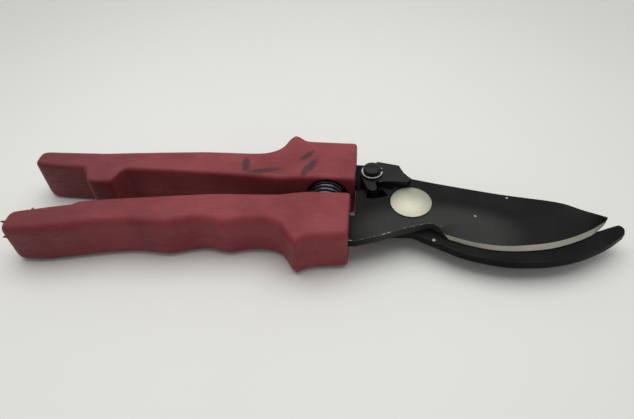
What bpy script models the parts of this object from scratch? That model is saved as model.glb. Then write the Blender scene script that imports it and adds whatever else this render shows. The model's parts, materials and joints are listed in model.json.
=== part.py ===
"""Bypass pruning shears lying flat, made of a hook half, a blade half and a safety latch.

The blade half turns on the pivot bolt, and the latch on its rivet. The long axis is X with the cutting end
at +X, and Z is up and parallel to the pivot. Lengths are in metres. The halves are drawn about the pivot,
then placed so that the box round the whole object is centred on the origin.
"""

import math

import bmesh
import bpy

MM = 0.001

# Overall length. The outlines below are drawn for the drawn length and follow this one.
OVERALL_LENGTH = 208.5 * MM
DRAWN_LENGTH = 208.5
PLAN = OVERALL_LENGTH / DRAWN_LENGTH

# Plates
PLATE_THICKNESS = 3.1 * MM
PLATE_GAP = 0.2 * MM
SEAT_GAP = 0.15 * MM
EDGE_LAND = 0.25 * MM
BEVEL_HEIGHT = 1.3 * MM

# Grips
GRIP_HEIGHT = 17.6 * MM
GRIP_INNER_RADIUS = 1.6 * MM
GRIP_OUTER_RADIUS = 3.2 * MM
GRIP_REAR_ROUNDING = 3.4 * MM
GRIP_FRONT_ROUNDING = 0.9 * MM
GRIP_LEAST_RADIUS = 0.3 * MM
GRIP_MOST_ROUNDING = 0.45
TANG_CLEARANCE = 0.3 * MM
STATION_STEP = 2.6 * MM

# Pivot
PIVOT_HEAD_RADIUS = 7.0 * MM
PIVOT_HEAD_RIM = 0.3 * MM
PIVOT_HEAD_DOME = 1.5 * MM
PIVOT_SHOULDER_RADIUS = 4.0 * MM
PIVOT_THREAD_RADIUS = 3.0 * MM
PIVOT_RUNNING_GAP = 0.08 * MM
THREAD_GAP = 0.12 * MM
THREAD_CHAMFER = 0.4 * MM
FLAT_WASHER_RADIUS = 7.0 * MM
FLAT_WASHER_THICKNESS = 0.8 * MM
LOCK_WASHER_RADIUS = 5.2 * MM
LOCK_WASHER_THICKNESS = 0.7 * MM
LOCK_WASHER_SPLIT = 0.7 * MM
NUT_ACROSS_FLATS = 10.0 * MM
NUT_THICKNESS = 2.8 * MM
BOLT_STICK_OUT = 0.3 * MM

# How far the grips squeeze past the latched position
SQUEEZE_ANGLE = math.radians(4)

# Blade boss beside the pivot, low enough for the latch's tab to pass as the blade turns
WAIST_RADIUS = 9.0 * PLAN
WAIST_START = math.radians(117)
WAIST_END = math.radians(138)
WAIST_BLEND_END = math.radians(113)
PRONG_RADIUS = 12.5 * PLAN
PRONG_ANGLE = math.radians(144)

# Latch, about its rivet
RIVET_X = -13.6 * PLAN
RIVET_Y = 11.7 * PLAN
RIVET_SHANK_RADIUS = 2.0 * MM
RIVET_RUNNING_GAP = 0.08 * MM
RIVET_HEAD_RADIUS = 3.2 * MM
RIVET_HEAD_HEIGHT = 1.7 * MM
RIVET_TAIL_RADIUS = 3.2 * MM
RIVET_TAIL_HEIGHT = 1.3 * MM
RIVET_TAIL_FLAT_SHARE = 0.7
RIVET_TAIL_RIM_SHARE = 0.4
SPACER_RADIUS = 3.9 * MM
LEVER_THICKNESS = 2.2 * MM
LEVER_HUB_RADIUS = 4.2 * MM
LEVER_HUB_SWEEP = (math.radians(205), math.radians(88))
TONGUE_END_SWEEP = (math.radians(-20), math.radians(-150))
LATCH_WASHER_RADIUS = 3.8 * MM
LATCH_WASHER_THICKNESS = 0.9 * MM
LATCH_WASHER_SPLIT = 0.7 * MM
LATCH_WASHER_TURN = math.radians(8)
TAB_REACH = 8.0 * PLAN
TAB_WIDTH = 1.7 * MM
TAB_DEPTH = 2.0 * MM
TAB_ANGLE = math.radians(-87)
TAB_FLOOR_GAP = 0.3 * MM
TAB_CHANNEL_SWEEP = math.radians(30)
TONGUE_END_EXTRA = 0.4 * MM
LOCK_ANGLE = math.radians(22)
LATCH_CLEARANCE = 0.3 * MM

# Opening spring, lying across the tool between the grips
SPRING_X = -29.3 * PLAN
SPRING_WIRE_RADIUS = 0.75 * MM
SPRING_COIL_RADIUS = 5.75 * MM
SPRING_ACTIVE_TURNS = 6
SPRING_END_GAP = 0.3 * MM
SPRING_CLOSED_GAP = 0.12 * MM
POCKET_DEPTH = 5.0 * MM
POCKET_CLEARANCE = 0.7 * MM
PEG_CLEARANCE = 0.9 * MM
POCKET_MOUTH = 3 * MM

# Freeform outlines about the pivot, in millimetres at the drawn length. A grip's wall is (x, y) along it.
HOOK_GRIP_INNER = (
    (-138.6, 8.0), (-130.0, 6.9), (-118.2, 6.6), (-117.0, 5.4), (-114.6, 0.4), (-113.4, -0.4),
    (-106.4, -0.2), (-105.2, 0.6), (-103.4, 5.6), (-102.0, 6.6), (-85.0, 6.3), (-60.0, 5.4), (-46.0, 4.4),
    (-38.0, 5.1), (-19.3, 5.2),
)
HOOK_GRIP_OUTER = (
    (-138.6, 16.0), (-127.0, 16.1), (-115.0, 16.2), (-100.0, 17.3), (-85.0, 18.3), (-72.0, 18.9),
    (-58.0, 18.8), (-53.0, 19.2), (-49.0, 20.8), (-46.4, 23.2), (-44.6, 27.4), (-42.8, 29.8),
    (-41.0, 29.0), (-38.6, 26.9), (-36.0, 26.4), (-19.3, 26.1),
)
BLADE_GRIP_INNER = (
    (-136.2, -16.0), (-130.0, -14.6), (-122.0, -12.6), (-114.8, -11.0), (-113.6, -9.9), (-104.0, -8.2),
    (-92.0, -6.6), (-79.0, -5.0), (-65.0, -3.6), (-46.0, -3.0), (-39.0, -1.6), (-34.0, -0.9),
    (-20.6, -0.9),
)
BLADE_GRIP_OUTER = (
    (-136.2, -24.2), (-128.0, -24.1), (-115.0, -21.9), (-103.0, -19.5), (-93.0, -18.4), (-83.0, -19.1),
    (-77.0, -17.6), (-70.0, -15.9), (-61.5, -17.4), (-56.0, -15.9), (-50.0, -15.3), (-45.0, -16.2),
    (-42.0, -18.6), (-39.2, -23.2), (-37.3, -24.8), (-35.4, -23.2), (-32.0, -21.9), (-20.6, -20.6),
)
SPINE = ((64.2, -3.3), (57.0, -0.5), (49.0, 2.9), (31.0, 5.6), (10.5, 9.7), (0.4, 12.1))
CUTTING_EDGE = (
    (12.0, -13.3), (18.5, -15.5), (25.0, -16.9), (31.0, -17.2), (38.0, -16.6), (44.5, -15.3),
    (51.0, -12.9), (57.7, -9.4), (61.5, -6.2), (64.2, -3.3),
)
BEVEL_LINE = (
    (10.71, -12.16), (18.6, -14.7), (25.0, -15.8), (31.0, -16.0), (37.5, -15.2), (44.0, -13.9),
    (51.0, -11.4), (57.9, -7.8), (61.8, -5.0), (64.2, -3.3),
)
GRIND_LINE = (
    (9.0, -10.66), (14.0, -9.0), (24.0, -7.6), (36.0, -5.6), (47.0, -3.4), (56.0, -2.2), (64.2, -3.3),
)
BLADE_UNDERSIDE = (
    (-18.6, -18.2), (-10.4, -15.3), (-3.9, -12.4), (2.7, -10.1), (6.3, -9.1), (8.6, -10.3),
)
BLADE_TANG_TOP = ((-18.6, -6.9), (-40.0, -7.0), (-52.0, -6.2), (-80.0, -8.2))
BLADE_TANG_BOTTOM = ((-80.0, -14.8), (-52.0, -12.6), (-43.0, -13.2), (-35.0, -16.6), (-18.6, -18.2))
HOOK_OUTER = (
    (-6.4, -11.0), (0.5, -10.8), (3.2, -12.2), (9.6, -15.3), (15.8, -18.3), (22.0, -20.1), (31.0, -21.5),
    (40.5, -21.0), (47.0, -19.8), (53.6, -17.6), (60.7, -13.9), (65.5, -10.6), (69.4, -7.3),
)
HOOK_NOSE = ((69.4, -7.3), (69.9, -5.2), (68.9, -3.7), (67.3, -3.9), (61.6, -6.4))
HOOK_INNER = (
    (61.6, -6.4), (59.4, -7.3), (58.0, -8.9), (55.6, -9.7), (48.0, -11.6), (39.0, -13.6), (31.0, -14.2),
    (23.0, -12.6), (16.0, -9.0), (11.5, -4.6), (9.4, 0.0),
)
HOOK_TOP = ((9.4, 0.0), (7.6, 6.2), (2.0, 10.4), (-5.0, 15.2), (-12.0, 20.6), (-15.5, 22.0), (-18.9, 22.3))
HOOK_TANG_TOP = ((-18.9, 22.3), (-36.0, 22.0), (-46.0, 17.4), (-52.0, 15.6), (-80.0, 15.8))
HOOK_TANG_BOTTOM = ((-80.0, 8.8), (-52.0, 8.6), (-40.0, 11.0), (-18.9, 11.2))
HOOK_UNDERSIDE = ((-18.9, -3.0), (-13.0, -7.4), (-6.4, -11.0))
LEVER_FLAG = (
    (-12.6, 16.4), (-12.2, 17.6), (-11.4, 17.9), (-3.9, 16.2), (-3.3, 14.6), (-2.3, 12.5), (-0.9, 10.7),
    (0.3, 9.6), (-0.9, 7.7), (-2.6, 7.5), (-6.4, 7.6), (-12.0, 7.5),
)
TONGUE_RIGHT = ((-12.2, 6.4), (-11.6, 4.6))
TONGUE_LEFT = ((-14.9, 3.3), (-17.0, 8.6))

# Heights that follow from the sizes above
MID_HEIGHT = GRIP_HEIGHT / 2
HOOK_TOP_Z = MID_HEIGHT - PLATE_GAP / 2
HOOK_BOTTOM_Z = HOOK_TOP_Z - PLATE_THICKNESS
BLADE_BOTTOM_Z = MID_HEIGHT + PLATE_GAP / 2
BLADE_TOP_Z = BLADE_BOTTOM_Z + PLATE_THICKNESS
SPACER_BOTTOM_Z = HOOK_TOP_Z + SEAT_GAP
LEVER_BOTTOM_Z = BLADE_TOP_Z + LATCH_CLEARANCE
LEVER_TOP_Z = LEVER_BOTTOM_Z + LEVER_THICKNESS
LATCH_WASHER_Z = LEVER_TOP_Z + SEAT_GAP
RIVET_HEAD_Z = LATCH_WASHER_Z + LATCH_WASHER_THICKNESS + SEAT_GAP
FLAT_WASHER_Z = HOOK_BOTTOM_Z - SEAT_GAP - FLAT_WASHER_THICKNESS
LOCK_WASHER_Z = FLAT_WASHER_Z - SEAT_GAP - LOCK_WASHER_THICKNESS
NUT_Z = LOCK_WASHER_Z - SEAT_GAP - NUT_THICKNESS

# Where the pivot stands, so that the object's box is centred on the origin
PIVOT_X = -(HOOK_GRIP_INNER[0][0] + max(x for x, _ in HOOK_NOSE)) / 2 * PLAN
PIVOT_Y = -(max(y for _, y in HOOK_GRIP_OUTER) + min(y for _, y in BLADE_GRIP_OUTER)) / 2 * PLAN

ROUND_SEGMENTS = 48
CORNER_SEGMENTS = 6
SAME_POINT = 0.02 * MM
CUTTER_LOW = -5 * MM
CUTTER_HIGH = 30 * MM


def smooth_path(points, steps=6):
    """Points along a Catmull-Rom curve through the given ones, in metres."""
    path = []
    count = len(points)
    for index in range(count - 1):
        before = points[max(index - 1, 0)]
        start = points[index]
        end = points[index + 1]
        after = points[min(index + 2, count - 1)]
        for step in range(steps):
            t = step / steps
            path.append(tuple(PLAN * catmull(before[k], start[k], end[k], after[k], t) for k in range(2)))
    path.append((points[-1][0] * PLAN, points[-1][1] * PLAN))
    return path


def catmull(a, b, c, d, t):
    return b + t * ((c - a) + t * ((2 * a - 5 * b + 4 * c - d) + t * (3 * (b - c) + d - a))) / 2


def spaced_path(points, count):
    """The smooth path's shape with a set number of equal steps, so that two paths can be bridged."""
    path = smooth_path(points, 12)
    lengths = [0.0]
    for first, second in zip(path, path[1:]):
        lengths.append(lengths[-1] + math.dist(first, second))
    spaced = []
    for index in range(count + 1):
        wanted = lengths[-1] * index / count
        place = next(i for i in range(1, len(lengths)) if lengths[i] >= wanted - 1e-12)
        share = (wanted - lengths[place - 1]) / (lengths[place] - lengths[place - 1])
        first, second = path[place - 1], path[place]
        spaced.append(tuple(first[k] + share * (second[k] - first[k]) for k in range(2)))
    return spaced


def straight_path(points):
    return [(x * PLAN, y * PLAN) for x, y in points]


def wall_curve(points):
    """y as a function of x through the given points, without overshoot between them."""
    xs = [x * PLAN for x, _ in points]
    ys = [y * PLAN for _, y in points]
    steps = [(ys[i + 1] - ys[i]) / (xs[i + 1] - xs[i]) for i in range(len(xs) - 1)]
    slopes = [steps[0]]
    for before, after in zip(steps, steps[1:]):
        slopes.append(0.0 if before * after <= 0 else 2 * before * after / (before + after))
    slopes.append(steps[-1])

    def height(x):
        place = max(i for i in range(len(xs) - 1) if i == 0 or xs[i] <= x)
        span = xs[place + 1] - xs[place]
        t = (x - xs[place]) / span
        rise = (2 * t**3 - 3 * t**2 + 1) * ys[place] + (3 * t**2 - 2 * t**3) * ys[place + 1]
        return rise + span * ((t**3 - 2 * t**2 + t) * slopes[place] + (t**3 - t**2) * slopes[place + 1])

    return height


def polar(radius, angle, centre=(0.0, 0.0)):
    return (centre[0] + radius * math.cos(angle), centre[1] + radius * math.sin(angle))


def arc(radius, start, end, segments, centre=(0.0, 0.0)):
    return [polar(radius, start + (end - start) * i / segments, centre) for i in range(segments + 1)]


def without_doubles(outline):
    kept = [outline[0]]
    for point in outline[1:]:
        if math.dist(point, kept[-1]) > SAME_POINT:
            kept.append(point)
    if math.dist(kept[0], kept[-1]) < SAME_POINT:
        kept.pop()
    return kept


def closed_prism(bm, outline, bottom, top):
    """A flat-sided solid standing on a plan outline, which may be given either way round."""
    area = sum(a[0] * b[1] - b[0] * a[1] for a, b in zip(outline, outline[1:] + outline[:1]))
    if area < 0:
        outline = outline[::-1]
    low = [bm.verts.new((x, y, bottom)) for x, y in outline]
    face = bm.faces.new(low[::-1])
    raised = bmesh.ops.extrude_face_region(bm, geom=[face])
    for vert in (item for item in raised["geom"] if isinstance(item, bmesh.types.BMVert)):
        vert.co.z = top


def stitched_solid(bm, loops):
    """A closed solid through loops of equal length, each a list of (x, y, z), the ends filled."""
    rings = [[bm.verts.new(point) for point in loop] for loop in loops]
    for lower, upper in zip(rings, rings[1:]):
        for i in range(len(lower)):
            j = (i + 1) % len(lower)
            bm.faces.new((lower[i], lower[j], upper[j], upper[i]))
    bm.faces.new(rings[0][::-1])
    bm.faces.new(rings[-1])


def turned(bm, profile, segments=ROUND_SEGMENTS):
    """A solid turned about Z from (radius, z) pairs; pairs at radius 0 close it on the axis."""
    rings = []
    for radius, z in profile:
        if radius == 0:
            rings.append([bm.verts.new((0, 0, z))])
        else:
            turn = 2 * math.pi / segments
            rings.append([bm.verts.new((*polar(radius, turn * i), z)) for i in range(segments)])
    pairs = list(zip(rings, rings[1:]))
    if profile[0][0] and profile[-1][0]:
        pairs.append((rings[-1], rings[0]))
    for first, second in pairs:
        for i in range(segments):
            j = (i + 1) % segments
            near = [first[i % len(first)], first[j % len(first)]]
            far = [second[j % len(second)], second[i % len(second)]]
            bm.faces.new(list(dict.fromkeys(near + far)))


def tube(bm, inner, outer, bottom, top, segments=ROUND_SEGMENTS):
    turned(bm, ((inner, bottom), (outer, bottom), (outer, top), (inner, top)), segments)


def dome_profile(radius, rim, height, base, steps=6):
    """Head outline from its rim's underside up over a shallow dome to the axis."""
    points = [(radius, base)]
    for i in range(steps + 1):
        angle = math.pi / 2 * i / steps
        points.append((radius * math.cos(angle), base + rim + height * math.sin(angle)))
    return points[:-1] + [(0, base + rim + height)]


def cap_profile(radius, rim, height, base, steps=8):
    """Head outline from its rim's underside up over a slice of a sphere to the axis."""
    sphere = (radius**2 + height**2) / (2 * height)
    points = [(radius, base)]
    for i in range(steps):
        out = radius * (1 - i / steps)
        points.append((out, base + rim + height - sphere + math.sqrt(sphere**2 - out**2)))
    return points + [(0, base + rim + height)]


def make_material(name, colour, roughness, metallic):
    material = bpy.data.materials.new(name)
    material.use_nodes = True
    shader = material.node_tree.nodes["Principled BSDF"]
    shader.inputs["Base Color"].default_value = (*colour, 1)
    shader.inputs["Roughness"].default_value = roughness
    shader.inputs["Metallic"].default_value = metallic
    return material


def finish(name, bm, material, parent=None, location=(0, 0, 0), smooth=False):
    """Turns the mesh into a named object, with its faces facing outwards."""
    bmesh.ops.recalc_face_normals(bm, faces=bm.faces)
    mesh = bpy.data.meshes.new(name)
    bm.to_mesh(mesh)
    bm.free()
    if smooth:
        mesh.shade_smooth()
        mesh.set_sharp_from_angle(angle=math.radians(35))
    if material:
        mesh.materials.append(material)
    obj = bpy.data.objects.new(name, mesh)
    obj.location = location
    obj.parent = parent
    bpy.context.scene.collection.objects.link(obj)
    return obj


def cut(obj, cutter):
    """Takes the cutter's shape out of the object; the cutter itself is left out of the model."""
    cutter.hide_render = True
    cutter.display_type = "WIRE"
    cutter.parent = obj.parent
    modifier = obj.modifiers.new("cut_" + cutter.name, "BOOLEAN")
    modifier.operation = "DIFFERENCE"
    modifier.solver = "EXACT"
    modifier.object = cutter


def add_axis(name, x, y):
    """An empty on a vertical axis, which what turns there hangs from."""
    axis = bpy.data.objects.new(name, None)
    axis.location = (x, y, 0)
    bpy.context.scene.collection.objects.link(axis)
    return axis


def grip_ring(x, inner, outer, inset):
    """The grip's rounded section at one station, drawn in by the inset on every side."""
    side = 1 if outer > inner else -1
    near = inner + side * inset
    far = outer - side * inset
    low = inset
    high = GRIP_HEIGHT - inset
    widest = GRIP_MOST_ROUNDING * abs(far - near)
    small = min(max(GRIP_INNER_RADIUS - inset, GRIP_LEAST_RADIUS), widest)
    large = min(max(GRIP_OUTER_RADIUS - inset, GRIP_LEAST_RADIUS), widest)
    corners = (
        (near + side * small, low + small, small, math.pi, 1.5 * math.pi),
        (far - side * large, low + large, large, 1.5 * math.pi, 2 * math.pi),
        (far - side * large, high - large, large, 0, 0.5 * math.pi),
        (near + side * small, high - small, small, 0.5 * math.pi, math.pi),
    )
    ring = []
    for y, z, radius, start, end in corners:
        for dy, dz in arc(radius, start, end, CORNER_SEGMENTS):
            ring.append((x, y + side * dy, z + dz))
    return ring


def grip_body(bm, inner_points, outer_points):
    """A grip lofted through sections along its length, with its ends rounded over."""
    inner = wall_curve(inner_points)
    outer = wall_curve(outer_points)
    rear = inner_points[0][0] * PLAN
    front = inner_points[-1][0] * PLAN
    knots = {x * PLAN for x, _ in inner_points + outer_points}
    knots = sorted(x for x in knots if rear + GRIP_REAR_ROUNDING < x < front - GRIP_FRONT_ROUNDING)
    knots = [rear + GRIP_REAR_ROUNDING] + knots + [front - GRIP_FRONT_ROUNDING]
    stations = []
    rear_steps = 5
    for angle_step in range(rear_steps):
        angle = math.pi / 2 * angle_step / rear_steps
        away = GRIP_REAR_ROUNDING * (1 - math.sin(angle))
        stations.append((rear + GRIP_REAR_ROUNDING * (1 - math.cos(angle)), away))
    for start, end in zip(knots, knots[1:]):
        pieces = math.ceil((end - start) / STATION_STEP)
        stations += [(start + (end - start) * i / pieces, 0.0) for i in range(pieces)]
    front_steps = 3
    for angle_step in range(front_steps + 1):
        angle = math.pi / 2 * angle_step / front_steps
        away = GRIP_FRONT_ROUNDING * (1 - math.cos(angle))
        stations.append((front - GRIP_FRONT_ROUNDING * (1 - math.sin(angle)), away))
    rings = [grip_ring(x, inner(x), outer(x), inset) for x, inset in stations]
    stitched_solid(bm, rings)


def tang_cutter(name, top, bottom, low, high):
    """The slot in a grip for its plate's tang, open at the grip's front."""
    front_gap = 2 * MM
    upper = straight_path(top)
    lower = straight_path(bottom)
    upper = [(upper[0][0] + front_gap, upper[0][1])] + upper
    lower = lower + [(lower[-1][0] + front_gap, lower[-1][1])]
    outline = [(x, y + TANG_CLEARANCE) for x, y in upper] + [(x, y - TANG_CLEARANCE) for x, y in lower]
    rear = len(upper)
    outline[rear - 1] = (outline[rear - 1][0] - TANG_CLEARANCE, outline[rear - 1][1])
    outline[rear] = (outline[rear][0] - TANG_CLEARANCE, outline[rear][1])
    bm = bmesh.new()
    closed_prism(bm, without_doubles(outline), low - TANG_CLEARANCE, high + TANG_CLEARANCE)
    return finish(name, bm, None)


def pocket_cutter(name, wall, depth_sign):
    """The round pocket for one end of the spring, which leaves a peg standing inside the coil."""
    outside = SPRING_COIL_RADIUS + SPRING_WIRE_RADIUS + POCKET_CLEARANCE
    peg = SPRING_COIL_RADIUS - SPRING_WIRE_RADIUS - PEG_CLEARANCE
    bm = bmesh.new()
    tube(bm, peg, outside, -POCKET_MOUTH, POCKET_DEPTH, 32)
    cutter = finish(name, bm, None, location=(SPRING_X, wall, MID_HEIGHT))
    cutter.rotation_euler = (-depth_sign * math.pi / 2, 0, 0)
    return cutter


def grip_material():
    return make_material("grip_plastic", (0.24, 0.056, 0.060), 0.55, 0.0)


def black_steel(name):
    """A dark satin coating, under a name of its own for each piece."""
    return make_material(name, (0.016, 0.016, 0.017), 0.42, 0.6)


def make_grips(hook_half, blade_half):
    bm = bmesh.new()
    grip_body(bm, HOOK_GRIP_INNER, HOOK_GRIP_OUTER)
    hook_grip = finish("hook_grip", bm, grip_material(), hook_half, smooth=True)
    slot = tang_cutter("hook_tang_slot", HOOK_TANG_TOP, HOOK_TANG_BOTTOM, HOOK_BOTTOM_Z, HOOK_TOP_Z)
    cut(hook_grip, slot)
    hook_wall = wall_curve(HOOK_GRIP_INNER)(SPRING_X)
    cut(hook_grip, pocket_cutter("hook_pocket", hook_wall, 1))

    bm = bmesh.new()
    grip_body(bm, BLADE_GRIP_INNER, BLADE_GRIP_OUTER)
    blade_grip = finish("blade_grip", bm, grip_material(), blade_half, smooth=True)
    slot = tang_cutter("blade_tang_slot", BLADE_TANG_TOP, BLADE_TANG_BOTTOM, BLADE_BOTTOM_Z, BLADE_TOP_Z)
    cut(blade_grip, slot)
    blade_wall = wall_curve(BLADE_GRIP_INNER)(SPRING_X)
    cut(blade_grip, pocket_cutter("blade_pocket", blade_wall, -1))


def hole_cutter(name, radius, x=0.0, y=0.0):
    bm = bmesh.new()
    turned(bm, ((0, CUTTER_LOW), (radius, CUTTER_LOW), (radius, CUTTER_HIGH), (0, CUTTER_HIGH)))
    return finish(name, bm, None, location=(x, y, 0))


def make_hook_plate(hook_half):
    outline = smooth_path(HOOK_OUTER, 4) + smooth_path(HOOK_NOSE, 3) + smooth_path(HOOK_INNER, 4)
    outline += smooth_path(HOOK_TOP, 3) + straight_path(HOOK_TANG_TOP)
    outline += straight_path(HOOK_TANG_BOTTOM) + straight_path(HOOK_UNDERSIDE)
    bm = bmesh.new()
    closed_prism(bm, without_doubles(outline), HOOK_BOTTOM_Z, HOOK_TOP_Z)
    hook = finish("hook_plate", bm, black_steel("hook_steel"), hook_half)
    cut(hook, hole_cutter("hook_pivot_hole", PIVOT_SHOULDER_RADIUS + PIVOT_RUNNING_GAP))
    cut(hook, hole_cutter("hook_rivet_hole", RIVET_SHANK_RADIUS + RIVET_RUNNING_GAP, RIVET_X, RIVET_Y))


def blade_rear_outline():
    """From the spine round the waist beside the pivot, then over the prong that the latch holds."""
    shoulder = math.dist((0, 0), SPINE[-1]) * PLAN
    start = math.atan2(SPINE[-1][1], SPINE[-1][0])
    steps = 8
    outline = []
    for step in range(steps + 1):
        share = step / steps
        ease = share * share * (3 - 2 * share)
        angle = start + (WAIST_BLEND_END - start) * share
        outline.append(polar(shoulder + (WAIST_RADIUS - shoulder) * ease, angle))
    outline += arc(WAIST_RADIUS, WAIST_START, WAIST_END, 6)
    outline.append(polar(PRONG_RADIUS, PRONG_ANGLE))
    return outline + straight_path(((-14.0, 6.4), (-17.4, 5.3), (-18.6, 4.2)))


def latch_notch_cutter():
    """A channel for the latch's tab as the blade turns, and a pocket that the tab turns into to lock."""
    half = TAB_WIDTH / 2
    rivet = (RIVET_X, RIVET_Y)
    centre = polar(TAB_REACH, TAB_ANGLE, rivet)
    reach = math.dist((0, 0), centre)
    near = reach - half - LATCH_CLEARANCE
    far = math.hypot(centre[0] - half, centre[1] + TAB_DEPTH / 2) + LATCH_CLEARANCE
    at_rest = math.atan2(centre[1], centre[0])
    channel_start = at_rest + TAB_DEPTH / 2 / reach
    channel = arc(near, channel_start, at_rest - TAB_CHANNEL_SWEEP, 10)
    channel += arc(far, at_rest - TAB_CHANNEL_SWEEP, channel_start, 10)
    ceiling = TAB_REACH - TAB_DEPTH / 2 - LATCH_CLEARANCE
    squeeze_travel = reach * math.sin(SQUEEZE_ANGLE)
    floor = TAB_REACH + TAB_DEPTH / 2 + squeeze_travel + LATCH_CLEARANCE
    beside = (half + LATCH_CLEARANCE) / ceiling
    pocket_start = TAB_ANGLE - beside - squeeze_travel / 2 / TAB_REACH
    pocket_end = TAB_ANGLE + LOCK_ANGLE + beside
    pocket = arc(ceiling, pocket_start, pocket_end, 10, rivet)
    pocket += arc(floor, pocket_end, pocket_start, 10, rivet)
    cutters = []
    for name, outline in (("tab_channel", channel), ("tab_pocket", pocket)):
        bm = bmesh.new()
        closed_prism(bm, outline, BLADE_BOTTOM_Z - 1 * MM, BLADE_TOP_Z + 1 * MM)
        cutters.append(finish(name, bm, None))
    return cutters


def make_blade_plate(blade_half):
    """The plate's flat underside, then its edge, its ground bevel and the ground face above that."""
    edge_steps = 36
    rest = smooth_path(SPINE, 5)[1:] + blade_rear_outline() + straight_path(BLADE_TANG_TOP)
    rest += straight_path(BLADE_TANG_BOTTOM) + smooth_path(BLADE_UNDERSIDE, 4)
    rest = without_doubles(rest)
    edge = spaced_path(CUTTING_EDGE, edge_steps)
    bevel = spaced_path(BEVEL_LINE, edge_steps)
    grind = spaced_path(GRIND_LINE, edge_steps)

    def loop(along_edge, z):
        return [(x, y, z) for x, y in along_edge + rest]

    bm = bmesh.new()
    stitched_solid(
        bm,
        (
            loop(edge, BLADE_BOTTOM_Z),
            loop(edge, BLADE_BOTTOM_Z + EDGE_LAND),
            loop(bevel, BLADE_BOTTOM_Z + BEVEL_HEIGHT),
            loop(grind, BLADE_TOP_Z),
        ),
    )
    blade = finish("blade_plate", bm, black_steel("blade_steel"), blade_half)
    cut(blade, hole_cutter("blade_pivot_hole", PIVOT_SHOULDER_RADIUS + PIVOT_RUNNING_GAP))
    for cutter in latch_notch_cutter():
        cut(blade, cutter)


def washer(name, bottom, thickness, inner, outer, material, parent, x=0.0, y=0.0):
    bm = bmesh.new()
    tube(bm, inner, outer, bottom, bottom + thickness)
    return finish(name, bm, material, parent, (x, y, 0), smooth=True)


def split_cutter(name, width, bore, x=0.0, y=0.0, angle=0.0):
    """A thin blade from inside the bore outwards, which opens a spring washer."""
    bm = bmesh.new()
    half = width / 2
    start = bore / 2
    end = bore * 4
    closed_prism(bm, [(start, -half), (end, -half), (end, half), (start, half)], CUTTER_LOW, CUTTER_HIGH)
    cutter = finish(name, bm, None, location=(x, y, 0))
    cutter.rotation_euler = (0, 0, angle)
    return cutter


def make_pivot(hook_half):
    head = BLADE_TOP_Z + SEAT_GAP
    shoulder_end = HOOK_BOTTOM_Z
    bm = bmesh.new()
    tip = NUT_Z - BOLT_STICK_OUT
    profile = [(0, tip), (PIVOT_THREAD_RADIUS - THREAD_CHAMFER, tip)]
    profile += [(PIVOT_THREAD_RADIUS, tip + THREAD_CHAMFER), (PIVOT_THREAD_RADIUS, shoulder_end)]
    profile += [(PIVOT_SHOULDER_RADIUS, shoulder_end), (PIVOT_SHOULDER_RADIUS, head)]
    profile += cap_profile(PIVOT_HEAD_RADIUS, PIVOT_HEAD_RIM, PIVOT_HEAD_DOME, head)
    turned(bm, profile)
    nickel = make_material("bolt_nickel", (0.55, 0.54, 0.49), 0.38, 1.0)
    finish("pivot_bolt", bm, nickel, hook_half, smooth=True)

    bore = PIVOT_THREAD_RADIUS + THREAD_GAP
    zinc = make_material("washer_zinc", (0.50, 0.50, 0.50), 0.35, 1.0)
    size = (FLAT_WASHER_THICKNESS, bore, FLAT_WASHER_RADIUS)
    washer("pivot_flat_washer", FLAT_WASHER_Z, *size, zinc, hook_half)
    spring_steel = make_material("lock_washer_steel", (0.22, 0.22, 0.23), 0.4, 1.0)
    size = (LOCK_WASHER_THICKNESS, bore, LOCK_WASHER_RADIUS)
    lock = washer("pivot_lock_washer", LOCK_WASHER_Z, *size, spring_steel, hook_half)
    cut(lock, split_cutter("lock_washer_split", LOCK_WASHER_SPLIT, bore))

    bm = bmesh.new()
    corner = NUT_ACROSS_FLATS / 2 / math.cos(math.pi / 6)
    closed_prism(bm, arc(corner, 0, 2 * math.pi, 6)[:-1], NUT_Z, NUT_Z + NUT_THICKNESS)
    nut = finish("pivot_nut", bm, make_material("nut_zinc", (0.50, 0.50, 0.50), 0.35, 1.0), hook_half)
    cut(nut, hole_cutter("nut_bore", bore))


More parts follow.
